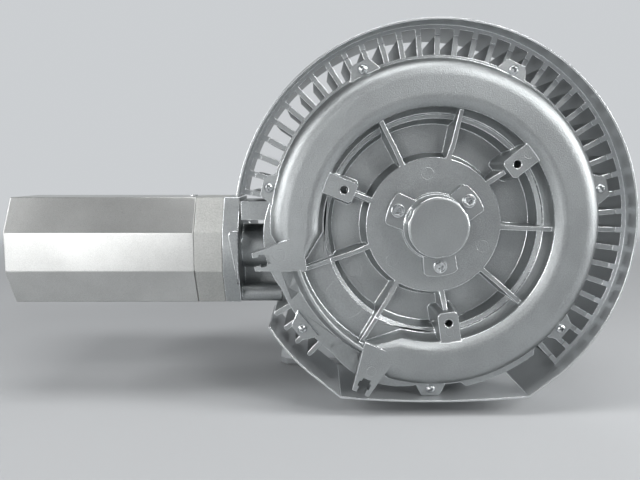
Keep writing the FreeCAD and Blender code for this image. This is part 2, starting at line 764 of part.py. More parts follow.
# Impeller housing: the rear half of the channel, the cooling fins, the motor flange and the
# two ducts that lead to the silencers
def impeller_housing():
    back = chamber_back + channel_depth + housing_wall
    shell = body_of("housing_shell", False)
    turned(shell, [
        [(chamber_r, joint), (flange_r, joint), (flange_r, joint + 14)]
        + rounding(flange_r - 22, back - 20, 20, 0, 90, 3)
        + [(channel_mid - channel_r, back), (step_r + 5, housing_back), (86, housing_back),
           (86, chamber_back + 9), (40, chamber_back + 9), (40, housing_back - 4),
           (bearing_outer, housing_back - 4), (bearing_outer, housing_back - 14),
           (core_seat, housing_back - 14), (core_seat, chamber_back),
           (chamber_r, chamber_back)]])

    # Cooling fins, one every fin pitch where the shroud or the ducts leave room
    side = fin_thick / 2
    fins = round_the_axis("housing_fins", "front", joint, fin_back, [
        (flange_r - 3, -side), (fin_tip, -side), (fin_tip, side), (flange_r - 3, side)],
        fin_first, fin_count, fin_pitch)
    low_fins = round_the_axis("housing_low_fins", "front", joint, fin_back, [
        (flange_r - 3, -side), (fin_tip - 2, -side), (fin_tip, -side / 2), (fin_tip, side / 2),
        (fin_tip - 2, side), (flange_r - 3, side)],
        low_fin_first, low_fin_count, fin_pitch)
    bosses = body_of("housing_bosses", False)
    boss = slab(bosses, "front", joint, joint + 24, [(tab_circle, 0, 6.5)], tab_phase)
    polar(bosses, [boss], tab_count)

    # Ducts from the ends of the channel to the two silencer flanges
    left = ring_right
    right = left + manifold_wall
    rear_axis = silencer_axis + silencer_pitch
    rear_up = silencer_up - rear_drop
    forms = [shell, fins, low_fins, bosses]
    for number, (low, high, shape) in enumerate((
            (left, right, silencer_section(silencer_axis, silencer_up)),
            (left, right, silencer_section(rear_axis, rear_up)),
            (left + 5, right, [(silencer_axis, rear_up - 30), (rear_axis, rear_up - 30),
                               (rear_axis, rear_up + 30), (silencer_axis, rear_up + 30)]),
            (right - 1, -150, (silencer_axis, duct_up, duct_r)),
            (right - 1, -156, (silencer_axis - 16, duct_up - 50, 9.5)),
            (right - 1, -140, [(silencer_axis + 2, duct_up - 54), (silencer_axis + 12, duct_up - 54),
                               (silencer_axis + 12, duct_up), (silencer_axis + 2, duct_up)]),
            (right + 2, -156, [(joint + 12, 4), (silencer_axis + 20, 4),
                               (silencer_axis + 20, 24), (joint + 12, 24)]),
            (right - 1, -114, (rear_axis, rear_up, duct_r)))):
        duct = body_of("housing_duct%d" % (number + 1), False)
        slab(duct, "side", low, high, [shape])
        forms.append(duct)
    crossover = body_of("housing_crossover", False)
    slab(crossover, "front", back - 6, rear_axis + duct_r, [
        [(-162, -62), (-112, -62), (-112, -2), (-162, -2)]])
    ring_duct = body_of("housing_ring_duct", False)
    turned(ring_duct, [[
        (channel_mid - 23, back - 6), (channel_mid + 23, back - 6),
        (channel_mid + 23, back + 20), (channel_mid - 23, back + 20)]],
        finish=channel_start - 2, sweep=54)
    forms += [crossover, ring_duct]

    # Hollows: the channel, the ducts, the screw holes
    channel = channel_form("housing_channel", chamber_back - 1, chamber_back + channel_depth)
    bores = []
    for number, (high, shape) in enumerate((
            (-150, (silencer_axis, duct_up, duct_bore)),
            (-118, (rear_axis, rear_up, duct_bore)))):
        bore = body_of("housing_bore%d" % (number + 1), False)
        slab(bore, "side", left - 1, high, [shape])
        bores.append(bore)
    well = body_of("housing_well", False)
    slab(well, "front", back + 6, rear_axis + duct_bore, [
        [(-156, -56), (-118, -56), (-118, -8), (-156, -8)]])
    passage = body_of("housing_passage", False)
    turned(passage, [[
        (channel_mid - 16, back + 1), (channel_mid + 16, back + 1),
        (channel_mid + 16, back + 14), (channel_mid - 16, back + 14)]],
        finish=channel_start - 5, sweep=50)
    gate = body_of("housing_gate", False)
    turned(gate, [[
        (channel_mid - channel_r, back - 12), (channel_mid + channel_r, back - 12),
        (channel_mid + channel_r, back + 2), (channel_mid - channel_r, back + 2)]],
        finish=channel_start + 5, sweep=13)
    holes = body_of("housing_holes", False)
    hole = slab(holes, "front", joint - 1, joint + 16, [(tab_circle, 0, tab_screw)], tab_phase)
    polar(holes, [hole], tab_count)
    motor_holes = body_of("housing_motor_holes", False)
    hole = slab(motor_holes, "front", chamber_back + 9, housing_back + 1, [
        (motor_bolt_circle, 0, thick)], 45)
    polar(motor_holes, [hole], 4)
    flange_holes = body_of("housing_flange_holes", False)
    slab(flange_holes, "side", left - 1, left + bolt_grip,
         [(y, z, thick) for y, z in bolt_places()])
    room = body_of("housing_room", False)
    turned(room, [[
        (channel_mid - channel_r - 10, joint - 1), (chamber_r, joint - 1),
        (chamber_r, chamber_back), (channel_mid - channel_r - 10, chamber_back)]])
    casting("impeller_housing", forms,
            [room, channel] + bores + [well, passage, gate, holes, motor_holes, flange_holes])


def silencer_section(middle, centre, shrink=0):
    """The octagon of a silencer, in Y and Z, made smaller all round by shrink."""
    corner = shrink * 0.5
    return octagon(middle, centre, octagon_depth - shrink * 2, octagon_height - shrink * 2,
                   octagon_face - corner, octagon_cap - corner)


def bolt_places():
    """Four bolts through each silencer flange, in Y and Z."""
    places = []
    for number in range(2):
        middle = silencer_axis + silencer_pitch * number
        centre = silencer_up - rear_drop * number
        for side in (-1, 1):
            for rise in (-1, 1):
                places.append((middle + bolt_half_depth * side, centre + bolt_half_height * rise))
    return places


# Shroud: a guard of sheet round the fins, with a slotted flange that stops at the fin tips
def fan_shroud():
    body = body_of("fan_shroud")
    round_turn = shroud_left - shroud_right
    turned(body, [[
        (shroud_r - sheet_wall, shroud_near), (shroud_r, shroud_near), (shroud_r, shroud_far),
        (shroud_r - sheet_wall, shroud_far)]], finish=shroud_left, sweep=round_turn)
    turned(body, [[
        (shroud_low_r - sheet_wall, shroud_near), (shroud_low_r, shroud_near),
        (shroud_low_r, shroud_far), (shroud_low_r - sheet_wall, shroud_far)]],
        finish=shroud_low_right, sweep=shroud_low_right - shroud_low_left)

    # The bowed floor and the two straight runs that lead to it from the round parts
    ends = []
    for radius, angle in ((shroud_r, shroud_right), (shroud_low_r, shroud_low_right)):
        for edge in (radius, radius - sheet_wall):
            ends.append((edge * across(angle), edge * upward(angle)))
    shift = sheet_wall * 0.36
    slab(body, "front", shroud_near, shroud_far, [[
        ends[0], ends[1], (floor_right - shift, floor_height + sheet_wall),
        (floor_left + shift, floor_height + sheet_wall, -floor_bow), ends[3], ends[2],
        (floor_left, floor_height), (floor_right, floor_height, floor_bow)]])
    turned(body, [[
        (slot_outer, joint), (shroud_r - 1, joint), (shroud_r - 1, joint + sheet_wall),
        (slot_outer, joint + sheet_wall)]],
        finish=fin_first + fin_pitch * (fin_count - 1) + 0.8,
        sweep=fin_pitch * (fin_count - 1) + 1.6)
    finger = slab(body, "front", joint, joint + sheet_wall, [[
        (fin_tip + seat, -fin_thick / 2), (slot_outer + 1, -fin_thick / 2),
        (slot_outer + 1, fin_thick / 2), (fin_tip + seat, fin_thick / 2)]], fin_first)
    polar(body, [finger], fin_count, fin_pitch)


# Silencers: a cast adapter with a spigot, an octagonal tube with a threaded port, a foam liner
def silencer(name, number):
    middle = silencer_axis + silencer_pitch * number
    centre = silencer_up - rear_drop * number
    whole = silencer_section(middle, centre)
    hollow = silencer_section(middle, centre, tube_wall)
    bolts = [(y, z) for y, z in bolt_places()[number * 4:number * 4 + 4]]
    screw_x = tube_right - spigot * 0.4
    top, base = centre + octagon_height / 2, centre - octagon_height / 2

    adapter = body_of(name + "_silencer_adapter")
    slab(adapter, "side", tube_right, ring_right, [whole])
    slab(adapter, "side", tube_right - spigot, tube_right, [hollow])
    cut(adapter, "side", tube_right - spigot, ring_right, [(middle, centre, duct_r)])
    cut(adapter, "side", tube_right - spigot, ring_right, [(y, z, thick) for y, z in bolts])
    cut(adapter, "side", tube_right - spigot, bolt_seat, [(y, z, bolt_well) for y, z in bolts])
    cut(adapter, "top", top - screw_depth, top, [(screw_x, middle, small)])
    cut(adapter, "top", base, base + screw_depth, [(screw_x, middle, small)])

    tube = body_of(name + "_silencer_tube")
    slab(tube, "side", tube_left, tube_right, [whole])
    cut(tube, "side", tube_left + tube_wall + 1, tube_right, [hollow])
    slab(tube, "side", tube_left + 1, tube_left + port_boss, [(middle, centre, port_r + 8)])
    cut(tube, "side", tube_left, tube_left + port_boss, [(middle, centre, port_r)])
    cut(tube, "top", base, top, [(screw_x, middle, small)])

    liner = body_of(name + "_silencer_liner")
    slab(liner, "side", tube_left + port_boss, tube_right - spigot, [hollow])
    cut(liner, "side", tube_left + port_boss, tube_right - spigot,
        [(middle, centre, port_r + 2.5)])


def silencer_flange_bolts():
    body = body_of("silencer_flange_bolts")
    places = bolt_places()
    slab(body, "side", bolt_seat - 8, bolt_seat, [(y, z, bolt_head) for y, z in places])
    slab(body, "side", bolt_seat, ring_right + bolt_grip, [(y, z, thick) for y, z in places])


def silencer_screws():
    body = body_of("silencer_screws")
    screw_x = tube_right - spigot * 0.4
    for number in range(2):
        middle = silencer_axis + silencer_pitch * number
        centre = silencer_up - rear_drop * number
        top, base = centre + octagon_height / 2, centre - octagon_height / 2
        for low, high, head in ((top, top + 1.6, (top - screw_depth, top)),
                                (base - 1.6, base, (base, base + screw_depth))):
            slab(body, "top", low, high, [(screw_x, middle, small * 2.1)])
            slab(body, "top", head[0], head[1], [(screw_x, middle, small)])


# Motor: a finned frame with foot pads, a pad for the terminal box and a lifting eye
def motor_frame():
    body = body_of("motor_frame")
    turned(body, [[
        (0, housing_back - 4), (86, housing_back - 4), (86, housing_back),
        (frame_flange, housing_back), (frame_flange, housing_back + 8),
        (frame_r, housing_back + 8), (frame_r, frame_back), (0, frame_back)]])
    fin = slab(body, "front", housing_back + 15, frame_back - 4, [
        box(frame_r - 3, -1.5, frame_fin_r, 1.5)])
    polar(body, [fin], frame_fin_count)
    lug = slab(body, "front", frame_back - 32, frame_back, [(shield_circle, 0, 7)], 45)
    polar(body, [lug], 4)
    for side in (-1, 1):
        slab(body, "front", pad_near, pad_far, [
            box(side * pad_inner, pad_bottom, side * pad_outer, -45)])
    slab(body, "top", 60, box_floor, [box(-pad_half, box_near + 7, pad_half, box_far - 7)])
    slab(body, "top", 76, eye_seat, [(0, eye_depth, 12)])
    cut(body, "front", housing_back + 8, frame_back, [(0, 0, frame_bore)])
    cut(body, "front", housing_back - 4, housing_back + 8, [(0, 0, 40)])
    cut(body, "front", housing_back - 4, housing_back, [(0, 0, 80)])
    for low, high, radius, circle_r in (
            (housing_back, housing_back + 8, thick, motor_bolt_circle),
            (frame_back - 25, frame_back, medium, shield_circle)):
        hole = cut(body, "front", low, high, [(circle_r, 0, radius)], 45)
        polar(body, [hole], 4)
    cut(body, "top", pad_bottom, pad_bottom + 20, foot_bolt_places(thick))
    cut(body, "top", box_floor - 14, box_floor, box_screw_places(thin))
    cut(body, "top", eye_seat - 16, eye_seat, [(0, eye_depth, 5)])


def foot_bolt_places(radius):
    return [(x * foot_bolt_x, y, radius) for x in (-1, 1) for y in (pad_near + 15, pad_far - 15)]


def box_screw_places(radius):
    return [(x * (pad_half - 12), y, radius)
            for x in (-1, 1) for y in (box_near + 20, box_far - 20)]


def lid_screw_places(radius):
    return [(x * (box_half - 8), y, radius) for x in (-1, 1) for y in (box_near + 8, box_far - 8)]


def motor_bolts():
    body = body_of("motor_bolts")
    head = slab(body, "front", housing_back + 8, housing_back + 13.3, [
        hexagon(motor_bolt_circle, sized(0), sized(13.0))], 45)
    shank = slab(body, "front", housing_back - 14, housing_back + 8, [
        (motor_bolt_circle, 0, thick)], 45)
    polar(body, [head, shank], 4)


def lifting_eye():
    body = body_of("lifting_eye")
    slab(body, "top", eye_seat - 16, eye_seat, [(0, eye_depth, 5)])
    slab(body, "top", eye_seat, eye_seat + 4, [(0, eye_depth, 11)])
    slab(body, "front", eye_depth - 4, eye_depth + 4, [(0, eye_seat + 18, 17)])
    cut(body, "front", eye_depth - 4, eye_depth + 4, [(0, eye_seat + 18, 10)])


def stator():
    core = body_of("stator_core")
    turned(core, [box(rotor_r + air_gap, core_near, frame_bore, core_far)])
    winding = body_of("stator_winding")
    for near, far in ((core_near - winding_reach, core_near), (core_far, core_far + winding_reach)):
        turned(winding, [box(rotor_r + air_gap + 4, near, frame_bore - 3, far)])


def rear_shield():
    body = body_of("rear_shield")
    inner = cowl_r - sheet_wall
    turned(body, [[
        (68, frame_back - 5), (frame_bore, frame_back - 5), (frame_bore, frame_back),
        (inner, frame_back), (inner, frame_back + 8), (36, frame_back + 8),
        (36, shield_end), (impeller_seat, shield_end), (impeller_seat, rear_seat_end),
        (bearing_outer, rear_seat_end), (bearing_outer, frame_back - 4), (36, frame_back - 4),
        (36, frame_back), (68, frame_back)]])
    hole = cut(body, "front", frame_back, frame_back + 8, [(shield_circle, 0, medium)], 45)
    polar(body, [hole], 4)
    hole = turned_beside(body, inner, box(inner - 10, cowl_screw_y, inner + 1, cowl_screw_y + small),
                         0, cowl_screw_y, "Groove")
    polar(body, [hole], 4)


def shield_bolts():
    body = body_of("shield_bolts")
    head = slab(body, "front", frame_back + 8, frame_back + 12, [
        hexagon(shield_circle, sized(0), sized(10.0))], 45)
    shank = slab(body, "front", frame_back - 25, frame_back + 8, [(shield_circle, 0, medium)], 45)
    polar(body, [head, shank], 4)


def fan_cowl():
    body = body_of("fan_cowl")
    inner = cowl_r - sheet_wall
    turned(body, [[
        (0, cowl_far - sheet_wall), (inner, cowl_far - sheet_wall), (inner, frame_back + 1),
        (cowl_r, frame_back + 1), (cowl_r, cowl_far - 4), (cowl_r - 4, cowl_far), (0, cowl_far)]])
    slot = cut(body, "front", cowl_far - sheet_wall, cowl_far, [box(25, -2.5, 80, 2.5)])
    polar(body, [slot], 24)
    hole = turned_beside(body, inner, box(inner - 1, cowl_screw_y, cowl_r + 1, cowl_screw_y + small),
                         0, cowl_screw_y, "Groove")
    polar(body, [hole], 4)


def cowl_screws():
    body = body_of("cowl_screws")
    inner = cowl_r - sheet_wall
    screw = turned_beside(body, inner, [
        (inner - 10, cowl_screw_y), (cowl_r + 2.5, cowl_screw_y),
        (cowl_r + 2.5, cowl_screw_y + 2.6), (cowl_r, cowl_screw_y + 3.8),
        (cowl_r, cowl_screw_y + small), (inner - 10, cowl_screw_y + small)], 0, cowl_screw_y)
    polar(body, [screw], 4)


# Terminal box on top of the motor
def terminal_box():
    body = body_of("terminal_box")
    slab(body, "top", box_floor, box_top, [box(-box_half, box_near, box_half, box_far)])
    cut(body, "top", box_floor + 3, box_top, [
        box(-box_half + 3, box_near + 3, box_half - 3, box_far - 3)])
    slab(body, "top", box_floor + 2, box_top, lid_screw_places(sized(6)))
    cut(body, "top", box_top - 25, box_top, lid_screw_places(thin))
    cut(body, "top", box_floor, box_floor + 3, box_screw_places(thin))
    cut(body, "side", -box_half, -box_half + 3, [(gland_depth, gland_up, gland_r)])

    gasket = body_of("terminal_gasket")
    slab(gasket, "top", box_top, box_top + gasket_thick, [
        box(-box_half, box_near, box_half, box_far),
        box(-box_half + 4, box_near + 4, box_half - 4, box_far - 4)])

    lid = body_of("terminal_lid")
    slab(lid, "top", box_top + gasket_thick, lid_top, [
        box(-box_half, box_near, box_half, box_far)])
    cut(lid, "top", box_top + gasket_thick, lid_top, lid_screw_places(thin))

    lid_screws = body_of("lid_screws")
    slab(lid_screws, "top", lid_top, lid_top + 3, lid_screw_places(thin + 2))
    slab(lid_screws, "top", box_top - 25, lid_top, lid_screw_places(thin))

    box_screws = body_of("box_screws")
    slab(box_screws, "top", box_floor + 3, box_floor + 6, box_screw_places(thin + 2))
    slab(box_screws, "top", box_floor - 14, box_floor + 3, box_screw_places(thin))

    middle = (box_near + box_far) / 2
    studs = [(x * 16, middle + y * 9, thin) for x in (-1, 0, 1) for y in (-1, 1)]
    block = body_of("terminal_block")
    slab(block, "top", box_floor + 3, box_floor + 15, [box(-28, middle - 20, 28, middle + 20)])
    cut(block, "top", box_floor + 9, box_floor + 15, studs)
    posts = body_of("terminal_studs")
    slab(posts, "top", box_floor + 9, box_floor + 27, studs)
    slab(posts, "top", box_floor + 15, box_floor + 19, [
        hexagon(sized(x), y, sized(8.0)) for x, y, radius in studs])

    gland = body_of("cable_gland")
    slab(gland, "side", -box_half - 6, -box_half, [hexagon(gland_depth, gland_up, sized(24.0))])
    slab(gland, "side", -box_half, -box_half + 9, [(gland_depth, gland_up, gland_r)])
    slab(gland, "side", -box_half - 24, -box_half - 6, [(gland_depth, gland_up, gland_r)])
    cut(gland, "side", -box_half - 24, -box_half + 9, [(gland_depth, gland_up, gland_r - 5)])


# Foot: a plate with wide wings behind, on two uprights that carry the motor pads
def base_foot():
    body = body_of("base_foot")
    top = foot_floor + foot_sheet
    slab(body, "top", foot_floor, top, [[
        (-foot_strip, foot_near), (foot_strip, foot_near), (foot_strip, foot_wing),
        (foot_half - 8, foot_wing), (foot_half, foot_wing + 8), (foot_half, foot_far - 8),
        (foot_half - 8, foot_far), (-foot_half + 8, foot_far), (-foot_half, foot_far - 8),
        (-foot_half, foot_wing + 8), (-foot_half + 8, foot_wing), (-foot_strip, foot_wing)]])
    for side in (-1, 1):
        inner, outer = side * foot_upright, side * (foot_upright + foot_sheet)
        slab(body, "front", pad_near - 8, pad_far + 8, [
            box(inner, top - 1, outer, pad_bottom - foot_sheet + 1)])
        slab(body, "front", pad_near - 8, pad_far + 8, [
            box(side * (pad_inner - 2), pad_bottom - foot_sheet, side * (pad_outer + 2), pad_bottom)])
    cut(body, "top", foot_floor, top, [
        (side * foot_hole_x, y, foot_hole_r) for side in (-1, 1) for y in (foot_hole_near, foot_hole_far)])
    cut(body, "top", pad_bottom - foot_sheet, pad_bottom, foot_bolt_places(thick))


def foot_bolts():
    body = body_of("foot_bolts")
    seat_up = pad_bottom - foot_sheet
    slab(body, "top", seat_up - 5.3, seat_up, [
        hexagon(x, y, sized(13.0)) for x, y, radius in foot_bolt_places(thick)])
    slab(body, "top", seat_up, pad_bottom + 20, foot_bolt_places(thick))


# Rotor: everything that turns
def shaft():
    body = body_of("shaft")
    turned(body, [[
        (0, shaft_front), (bearing_bore - 1, shaft_front), (bearing_bore, shaft_front + 1),
        (bearing_bore, impeller_front - clip), (bearing_bore - clip_depth, impeller_front - clip),
        (bearing_bore - clip_depth, impeller_front), (impeller_seat, impeller_front),
        (impeller_seat, impeller_hub_end), (neck_r, impeller_hub_end), (neck_r, core_near - 10),
        (core_seat, core_near - 10), (core_seat, core_far + 10), (neck_r, core_far + 10),
        (neck_r, rear_bearing_near - seat), (bearing_bore, rear_bearing_near - seat),
        (bearing_bore, fan_near - 10), (fan_seat, fan_near - 10), (fan_seat, fan_far),
        (fan_seat - clip_depth, fan_far), (fan_seat - clip_depth, fan_far + clip),
        (fan_seat, fan_far + clip), (fan_seat, fan_far + 5), (0, fan_far + 5)]])
    cut(body, "front", key_near, key_near + key_length, [
        box(-key_width / 2, key_bottom, key_width / 2, impeller_seat + 1)])


def impeller():
    body = body_of("impeller")
    near, far = sealing_face + running_gap, chamber_back - running_gap
    middle = (near + far) / 2
    turned(body, [[
        (impeller_seat, impeller_front), (impeller_hub_r, impeller_front),
        (impeller_hub_r + 3, middle - web_thick / 2), (vane_ring_inner - 5, middle - web_thick / 2),
        (vane_ring_inner, middle - web_thick), (vane_ring_inner, near), (vane_inner, near),
        (vane_inner, middle - 14), (vane_inner + 12, middle - 2), (vane_outer, middle - 2),
        (vane_outer, middle + 2), (vane_inner + 12, middle + 2), (vane_inner, middle + 14),
        (vane_inner, far),
        (vane_ring_inner, far), (vane_ring_inner, middle + web_thick),
        (vane_ring_inner - 5, middle + web_thick / 2), (impeller_hub_r + 3, middle + web_thick / 2),
        (impeller_hub_r, impeller_hub_end), (impeller_seat, impeller_hub_end)]])
    vane = slab(body, "front", near, far, [
        box(vane_inner - 1, -vane_thick / 2, vane_outer, vane_thick / 2)])
    polar(body, [vane], vane_count)
    cut(body, "front", impeller_front, impeller_hub_end, [
        box(-key_width / 2, key_bottom, key_width / 2, key_bottom + key_height + seat)])


def impeller_key():
    body = body_of("impeller_key")
    slab(body, "front", key_near, key_near + key_length, [
        box(-key_width / 2, key_bottom, key_width / 2, key_bottom + key_height)])


def rotor_core():
    body = body_of("rotor_core")
    turned(body, [[
        (core_seat, core_near), (30, core_near), (30, core_near - 5), (rotor_r - 1.5, core_near - 5),
        (rotor_r - 1.5, core_near), (rotor_r, core_near), (rotor_r, core_far),
        (rotor_r - 1.5, core_far), (rotor_r - 1.5, core_far + 5), (30, core_far + 5),
        (30, core_far), (core_seat, core_far)]])


def cooling_fan():
    body = body_of("cooling_fan")
    hub = fan_seat + 8
    turned(body, [[
        (fan_seat, fan_near), (hub, fan_near), (hub, fan_far - 3), (fan_r, fan_far - 3),
        (fan_r, fan_far), (fan_seat, fan_far)]])
    blade = plate(body, [[
        (hub - 1, fan_near), (fan_r - 14, fan_near), (fan_r - 2, fan_near + 8),
        (fan_r - 2, fan_far - 2), (hub - 1, fan_far - 2)]], sized(2.5), 0)
    polar(body, [blade], 8)


def write_parts():
    doc.recompute()
    os.makedirs("parts", exist_ok=True)
    for item in doc.Objects:
        if "Invalid" in item.State or "Error" in item.State:
            raise RuntimeError("%s is not built: %s" % (item.Label, item.State))
    for node in NODES:
        if node.Shape.isNull() or not node.Shape.isValid() or not node.Shape.Solids:
            raise RuntimeError("%s has no sound solid" % node.Label)
        node.Shape.exportStep("parts/%s.step" % node.Label)


impeller_cover()
cover_screws()
bearing_cap()
cap_screws()
ring("front_bearing", bearing_bore + fit, bearing_outer, bearing_near,
     bearing_near + bearing_width)
ring("front_seal", bearing_bore + fit, seal_r, bearing_near + bearing_width, cover_back - seat)
impeller_housing()
ring("housing_seal", neck_r + fit, bearing_outer, housing_back - 14, housing_back - 6)
fan_shroud()
silencer("front", 0)
silencer("rear", 1)
silencer_flange_bolts()
silencer_screws()
motor_frame()
motor_bolts()
lifting_eye()
stator()
rear_shield()
ring("rear_bearing", bearing_bore + fit, bearing_outer, rear_bearing_near,
     rear_bearing_near + bearing_width)
ring("bearing_spring", bearing_outer - 5, bearing_outer, rear_bearing_near + bearing_width,
     rear_seat_end)
shield_bolts()
fan_cowl()
cowl_screws()
terminal_box()
base_foot()
foot_bolts()
shaft()
impeller()
impeller_key()
ring("impeller_circlip", bearing_bore - clip_depth, neck_r, impeller_front - clip, impeller_front)
rotor_core()
cooling_fan()
ring("fan_circlip", fan_seat - clip_depth, fan_seat + 4, fan_far, fan_far + clip)
write_parts()
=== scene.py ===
import math

import bmesh
import bpy
from mathutils import Matrix, Vector
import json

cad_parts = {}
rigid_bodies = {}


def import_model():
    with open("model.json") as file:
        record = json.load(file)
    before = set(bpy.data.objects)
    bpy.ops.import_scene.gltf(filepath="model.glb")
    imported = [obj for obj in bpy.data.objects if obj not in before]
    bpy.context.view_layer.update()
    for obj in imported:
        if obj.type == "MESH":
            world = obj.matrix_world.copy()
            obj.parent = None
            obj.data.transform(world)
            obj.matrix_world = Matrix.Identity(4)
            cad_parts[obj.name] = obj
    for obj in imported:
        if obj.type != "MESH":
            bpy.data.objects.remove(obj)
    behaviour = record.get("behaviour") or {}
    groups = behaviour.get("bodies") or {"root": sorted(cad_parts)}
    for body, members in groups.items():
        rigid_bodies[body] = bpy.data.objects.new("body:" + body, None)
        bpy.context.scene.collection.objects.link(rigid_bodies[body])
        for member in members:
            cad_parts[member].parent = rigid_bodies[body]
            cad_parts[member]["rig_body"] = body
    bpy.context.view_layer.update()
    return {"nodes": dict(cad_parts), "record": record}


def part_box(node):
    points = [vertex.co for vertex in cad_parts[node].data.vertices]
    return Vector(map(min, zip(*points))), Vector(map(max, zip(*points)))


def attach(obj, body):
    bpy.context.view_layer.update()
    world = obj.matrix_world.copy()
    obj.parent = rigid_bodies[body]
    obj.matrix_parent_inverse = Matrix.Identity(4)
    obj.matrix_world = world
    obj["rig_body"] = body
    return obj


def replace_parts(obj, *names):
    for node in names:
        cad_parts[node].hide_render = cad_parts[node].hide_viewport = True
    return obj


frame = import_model()
scene = bpy.context.scene
scene.view_settings.view_transform = "Standard"


# Studio. The blower stands on pale paper that fades into the walls, among six wide lamps.
# The camera stands where the photograph was taken, just above the rotor axis.
camera_data = bpy.data.cameras.new("camera")
camera_data.sensor_width = 36.0
camera_data.lens = 32.73
camera_data.clip_start = 0.01
camera = bpy.data.objects.new("camera", camera_data)
camera.location = (-0.12035, -0.5698, 0.0544)
camera_way = Vector((0.00895, 0.99307, -0.11721))
camera.rotation_euler = camera_way.to_track_quat("-Z", "Y").to_euler()
scene.collection.objects.link(camera)
scene.camera = camera


class Tone:
    """A shader socket that takes part in sums, together with its node tree."""

    def __init__(self, tree, socket):
        self.tree = tree
        self.socket = socket

    def node(self, kind, settings, links):
        """A node with its settings, and the values or links of its numbered or named inputs."""
        made = self.tree.nodes.new("ShaderNode" + kind)
        for name, setting in settings.items():
            setattr(made, name, setting)
        for name, value in links.items():
            self.plug(value, made.inputs[name])
        return made

    def plug(self, value, target):
        if isinstance(value, Tone):
            self.tree.links.new(value.socket, target)
        else:
            target.default_value = value

    def sum(self, operation, *values):
        made = self.node("Math", {"operation": operation}, dict(enumerate(values)))
        return Tone(self.tree, made.outputs[0])

    def __add__(self, other):
        return self.sum("ADD", self, other)

    def __radd__(self, other):
        return self.sum("ADD", other, self)

    def __sub__(self, other):
        return self.sum("SUBTRACT", self, other)

    def __rsub__(self, other):
        return self.sum("SUBTRACT", other, self)

    def __mul__(self, other):
        return self.sum("MULTIPLY", self, other)

    def __rmul__(self, other):
        return self.sum("MULTIPLY", other, self)

    def __truediv__(self, other):
        return self.sum("DIVIDE", self, other)

    def size(self):
        return self.sum("ABSOLUTE", self)

    def root(self):
        return self.sum("SQRT", self)

    def at_most(self, other):
        return self.sum("MINIMUM", self, other)

    def grain(self, scale, detail=2.0, roughness=0.5):
        """Noise of this many grains to the metre."""
        made = self.node("TexNoise", {}, {
            "Vector": self, "Scale": scale, "Detail": detail, "Roughness": roughness})
        return Tone(self.tree, made.outputs[0])

    def ramp(self, low, high):
        """0 below low and 1 above high, smooth between."""
        made = self.node("MapRange", {"interpolation_type": "SMOOTHSTEP"}, {0: self, 1: low, 2: high})
        return Tone(self.tree, made.outputs[0])

    def blend(self, first, second):
        """The colour between first and second that this share gives."""
        made = self.node("Mix", {"data_type": "RGBA"}, {0: self, 6: first, 7: second})
        return Tone(self.tree, made.outputs[2])

    def parts(self):
        """The X, Y and Z of a place."""
        made = self.node("SeparateXYZ", {}, {0: self})
        return [Tone(self.tree, made.outputs[number]) for number in range(3)]

    def relief(self, distance, strength=0.6):
        """The normal of a surface with this height."""
        made = self.node("Bump", {}, {"Height": self, "Distance": distance, "Strength": strength})
        return Tone(self.tree, made.outputs[0])


def finish_of(name, **constants):
    """A new material: the material, its shader and the place on the object."""
    material = bpy.data.materials.new(name)
    material.use_nodes = True
    tree = material.node_tree
    shader = tree.nodes["Principled BSDF"]
    for socket, value in constants.items():
        shader.inputs[socket.replace("_", " ")].default_value = value
    place = Tone(tree, tree.nodes.new("ShaderNodeTexCoord").outputs["Object"])
    return material, shader, place


floor_reach = 2.6
floor_plain = 0.9
paper, shader, place = finish_of("floor_paper", Base_Color=(0.46, 0.47, 0.48, 1), Roughness=0.9)
away = place.node("VectorMath", {"operation": "LENGTH"}, {0: place}).outputs["Value"]
place.plug(Tone(place.tree, away).ramp(floor_reach, floor_plain), shader.inputs["Alpha"])
sheet = bmesh.new()
bmesh.ops.create_circle(sheet, cap_ends=True, radius=floor_reach, segments=48)
floor_gap = 0.0004
bmesh.ops.translate(sheet, verts=sheet.verts,
                    vec=(0, 0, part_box("base_foot")[0].z - floor_gap))
floor_mesh = bpy.data.meshes.new("floor")
sheet.to_mesh(floor_mesh)
sheet.free()
floor_mesh.materials.append(paper)
floor = bpy.data.objects.new("floor", floor_mesh)
scene.collection.objects.link(floor)

room = bpy.data.worlds.new("studio")
room.use_nodes = True
sky = room.node_tree
gaze = Tone(sky, sky.nodes.new("ShaderNodeTexCoord").outputs["Generated"])
_, inward, upward = gaze.parts()
walls = inward.ramp(0.1, -0.6).blend((0.60, 0.62, 0.64, 1), (0.20, 0.207, 0.215, 1))
walls = upward.ramp(0.3, 0.7).blend(walls, (0.10, 0.105, 0.11, 1))
gaze.plug(walls, sky.nodes["Background"].inputs["Color"])
scene.world = room

lamp_aim = Vector((-0.1, 0.0, 0.0))
for name, place, width, height, power in (
        ("overhead", (-0.1, -0.30, 1.20), 0.9, 0.45, 7.0),
        ("key_lamp", (0.75, -1.15, 1.00), 0.5, 0.5, 10.0),
        ("left_lamp", (-1.50, -2.55, 0.22), 0.9, 0.8, 20.0),
        ("side_lamp", (-1.7, -0.40, 0.65), 0.45, 1.2, 18.0),
        ("right_lamp", (1.6, -0.40, 0.55), 0.45, 1.2, 22.0),
        ("back_lamp", (0.3, 1.8, 1.5), 1.2, 0.8, 7.0)):
    lamp = bpy.data.lights.new(name, "AREA")
    lamp.shape = "RECTANGLE"
    lamp.size = width
    lamp.size_y = height
    lamp.energy = power
    stand = bpy.data.objects.new(name, lamp)
    stand.location = place
    stand.rotation_euler = (lamp_aim - Vector(place)).to_track_quat("-Z", "Y").to_euler()
    scene.collection.objects.link(stand)


